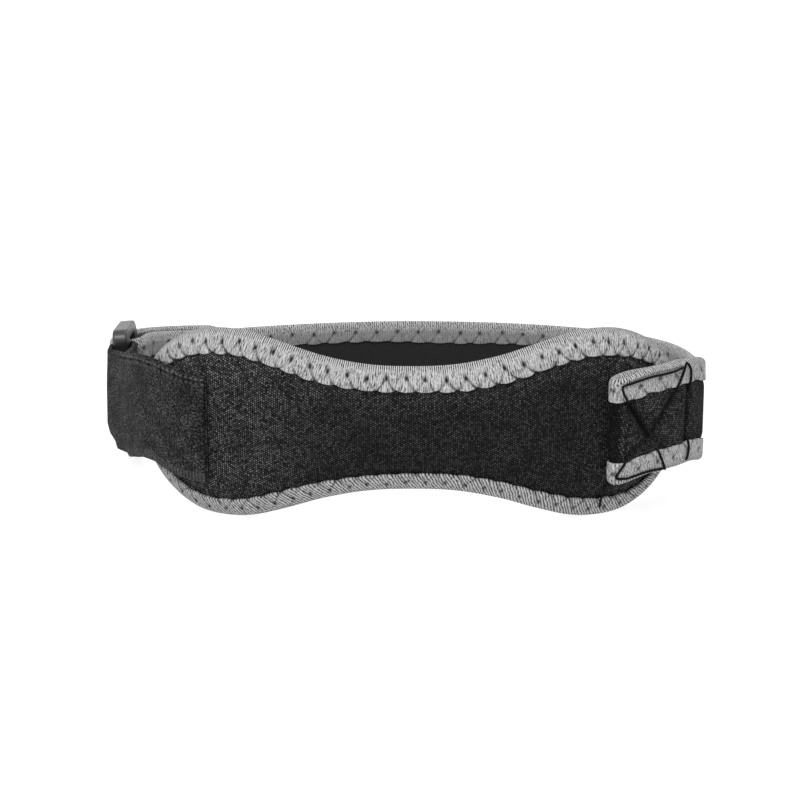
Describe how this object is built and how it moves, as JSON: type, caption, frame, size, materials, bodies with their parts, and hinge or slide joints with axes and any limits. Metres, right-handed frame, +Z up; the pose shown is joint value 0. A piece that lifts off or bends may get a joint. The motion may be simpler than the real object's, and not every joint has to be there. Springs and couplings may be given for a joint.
{
  "type": "patella strap",
  "caption": "Padded band worn below the kneecap: dog-bone pad in front, strap round the back through a ring held by a tab, edges bound in tape",
  "frame": {"origin": "middle of the part's foot on the surface that it rests on", "axes": "+X to the wearer's side where the strap is sewn on the pad, -Y the way the pad faces, +Z up along the leg"},
  "size_m": [0.1804, 0.09, 0.0555],
  "materials": {
    "pad_knit": "black knit of fine wales over foam",
    "grey_tape": "light grey ribbed binding tape, zigzag stitched",
    "strap_cloth": "black knit over thin foam",
    "brushed_cloth": "black brushed loop cloth",
    "ring_plastic": "black moulded plastic, satin",
    "hook_cloth": "black hook tape, plain"
  },
  "bodies": {
    "root": {"pad": "pad_knit", "pad_binding": "grey_tape", "strap": "strap_cloth", "strap_binding": "grey_tape", "ring_tab": "brushed_cloth", "ring_buckle": "ring_plastic", "hook_patch": "hook_cloth"}
  },
  "joints": []
}
